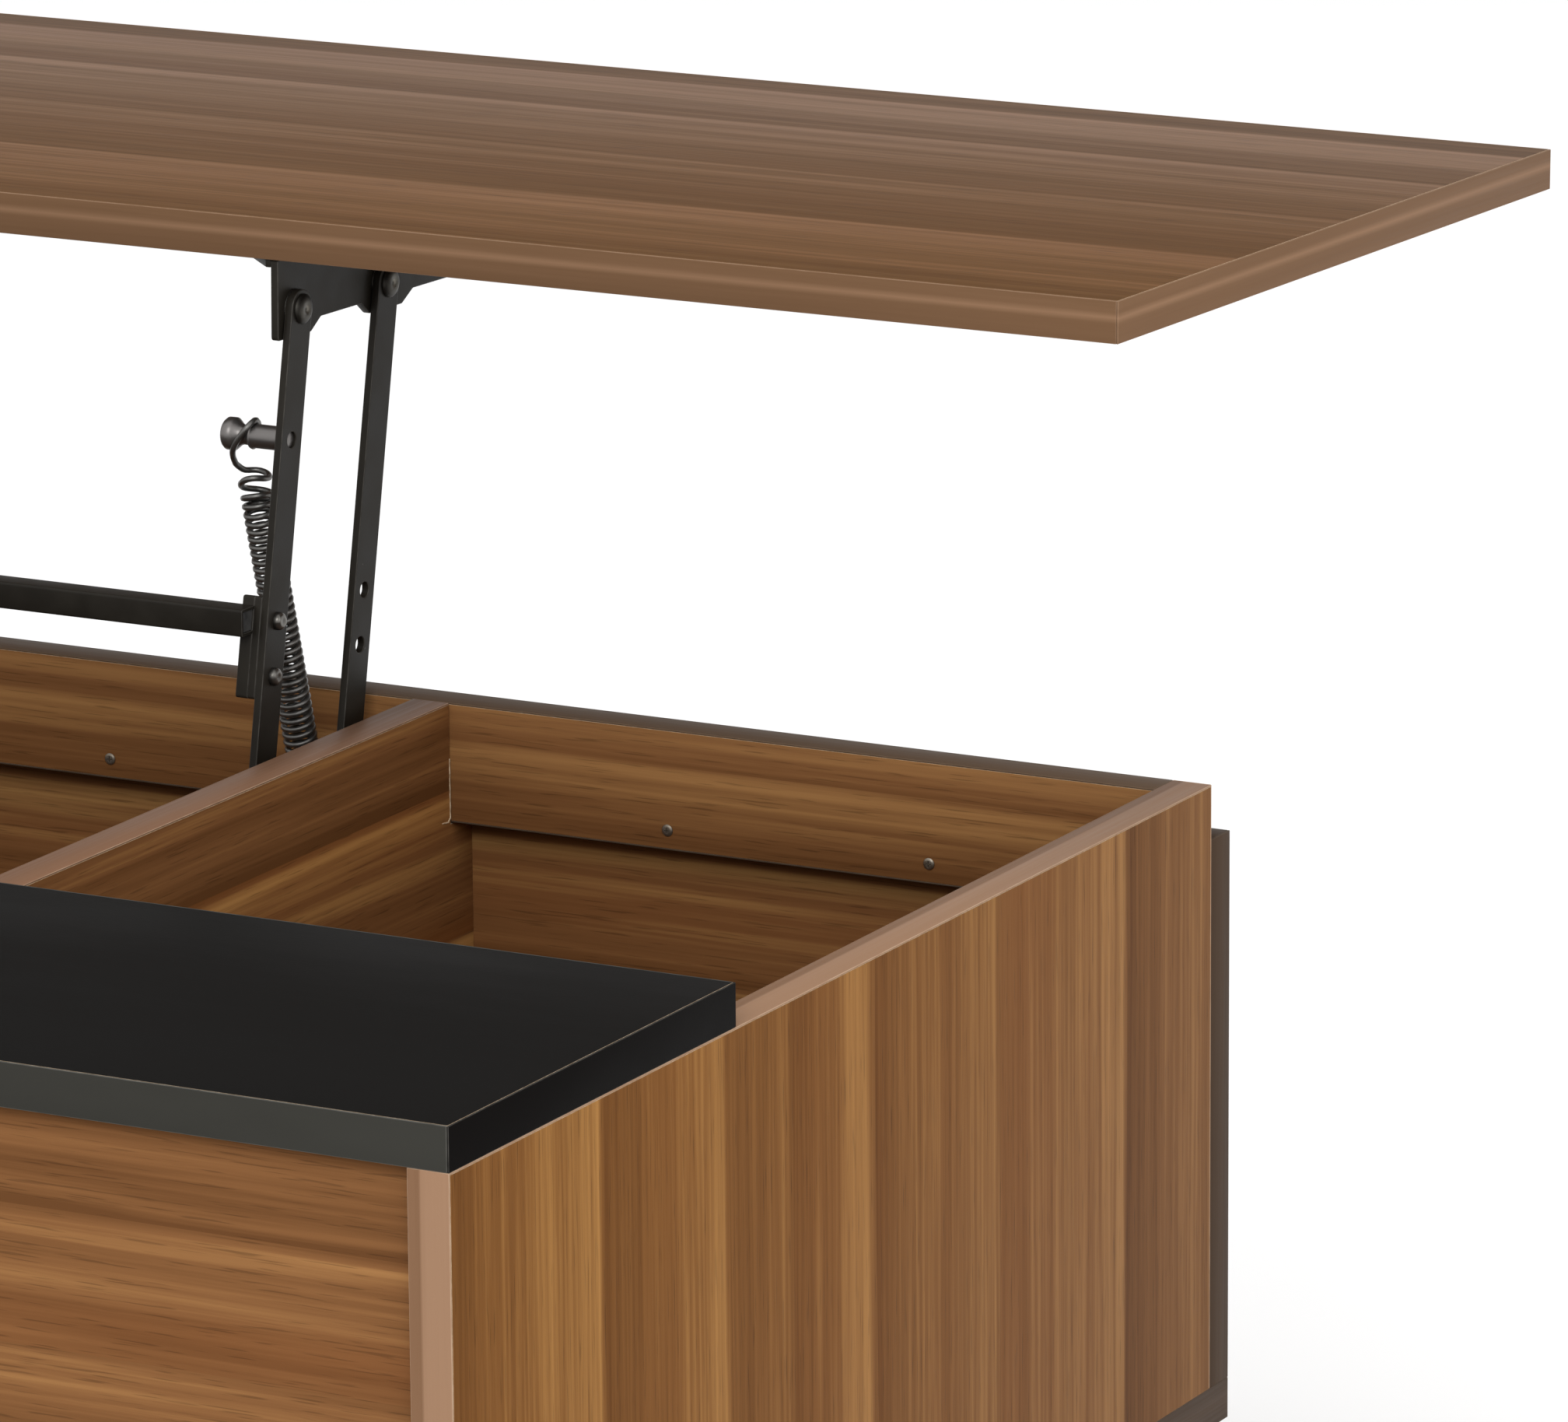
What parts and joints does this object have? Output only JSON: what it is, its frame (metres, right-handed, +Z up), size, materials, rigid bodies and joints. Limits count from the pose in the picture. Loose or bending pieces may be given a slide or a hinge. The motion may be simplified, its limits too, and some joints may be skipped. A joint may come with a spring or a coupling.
{
  "type": "lift top coffee table",
  "caption": "Coffee table with storage bays, a fixed back top and a lift top that rises forward on a spring-assisted steel linkage.",
  "frame": {"origin": "on the floor, under the middle of the box round the table with its top raised", "axes": "+X along the length, +Y to the front where people sit, +Z up"},
  "size_m": [1.1, 0.8244, 0.5914],
  "materials": {
    "walnut_board": "satin printed walnut grain",
    "black_board": "matte black laminate",
    "dowel_wood": "bare beech",
    "linkage_steel": "satin black paint",
    "leg_steel": "matte black paint",
    "pin_steel": "oiled steel",
    "spring_wire": "oiled spring steel",
    "black_fastener": "black oxide",
    "zinc_screw": "zinc plate",
    "glide_plastic": "matte moulded"
  },
  "bodies": {
    "root": {"bottom_board": "walnut_board", "side_panel_left": "walnut_board", "side_panel_right": "walnut_board", "divider_left": "walnut_board", "divider_right": "walnut_board", "back_panel": "walnut_board", "front_rail": "walnut_board", "front_panel": "walnut_board", "fixed_top": "black_board", "wood_dowels": "dowel_wood", "carcass_screws": "black_fastener", "rail_screws": "zinc_screw", "leg_back_right": "leg_steel", "leg_front_right": "leg_steel", "leg_back_left": "leg_steel", "leg_front_left": "leg_steel", "leg_plates": "leg_steel", "leg_screws": "black_fastener", "glide_back_right": "glide_plastic", "glide_front_right": "glide_plastic", "glide_back_left": "glide_plastic", "glide_front_left": "glide_plastic", "base_bracket_left": "linkage_steel", "base_bracket_right": "linkage_steel", "base_bracket_screws": "black_fastener", "base_pivots": "pin_steel", "base_washers": "pin_steel", "spring_anchors": "pin_steel"},
    "rear_arms": {"rear_arm_left": "linkage_steel", "rear_arm_right": "linkage_steel", "cross_bar": "linkage_steel", "cross_bar_bolts": "black_fastener", "spring_studs": "pin_steel", "spring_eyes": "spring_wire"},
    "front_arm_left": {"front_arm_left": "linkage_steel"},
    "front_arm_right": {"front_arm_right": "linkage_steel"},
    "lid": {"lift_top": "walnut_board", "top_bracket_left": "linkage_steel", "top_bracket_right": "linkage_steel", "top_pivots": "pin_steel", "top_washers": "pin_steel", "top_bracket_screws": "black_fastener"},
    "spring_left": {"spring_left": "spring_wire"},
    "spring_right": {"spring_right": "spring_wire"},
    "spring_neck_left": {"spring_neck_left": "spring_wire"},
    "spring_neck_right": {"spring_neck_right": "spring_wire"}
  },
  "joints": [
    {"name": "lift", "type": "hinge", "parent": "root", "child": "rear_arms", "pos_m": [0, 0.01432, 0.325], "axis": [1, 0, 0], "range_deg": [0, 85.97]},
    {"name": "top_tilt", "type": "hinge", "parent": "rear_arms", "child": "lid", "pos_m": [0, 0.05945, 0.55715], "axis": [1, 0, 0], "range_deg": [-84.6, 0]},
    {"name": "front_arm_swing_left", "type": "hinge", "parent": "root", "child": "front_arm_left", "pos_m": [0, 0.07544, 0.32357], "axis": [1, 0, 0], "range_deg": [0, 85.73]},
    {"name": "spring_swing_left", "type": "hinge", "parent": "root", "child": "spring_left", "pos_m": [0, 0.09552, 0.347], "axis": [1, 0, 0], "range_deg": [0, 68.8]},
    {"name": "spring_stretch_left", "type": "slide", "parent": "spring_left", "child": "spring_neck_left", "axis": [0, -0.2648, 0.9643], "range_m": [0, 0.0956]},
    {"name": "front_arm_swing_right", "type": "hinge", "parent": "root", "child": "front_arm_right", "pos_m": [0, 0.07544, 0.32357], "axis": [1, 0, 0], "range_deg": [0, 85.73]},
    {"name": "spring_swing_right", "type": "hinge", "parent": "root", "child": "spring_right", "pos_m": [0, 0.09552, 0.347], "axis": [1, 0, 0], "range_deg": [0, 68.8]},
    {"name": "spring_stretch_right", "type": "slide", "parent": "spring_right", "child": "spring_neck_right", "axis": [0, -0.2648, 0.9643], "range_m": [0, 0.0956]}
  ],
  "couplings": [
    {"joint": "top_tilt", "follows": "lift", "ratio": -0.98372},
    {"joint": "front_arm_swing_left", "follows": "lift", "ratio": 0.99689},
    {"joint": "spring_swing_left", "follows": "lift", "ratio": 0.80003},
    {"joint": "spring_stretch_left", "follows": "lift", "m_per_rad": 0.063656},
    {"joint": "front_arm_swing_right", "follows": "lift", "ratio": 0.99689},
    {"joint": "spring_swing_right", "follows": "lift", "ratio": 0.80003},
    {"joint": "spring_stretch_right", "follows": "lift", "m_per_rad": 0.063656}
  ]
}
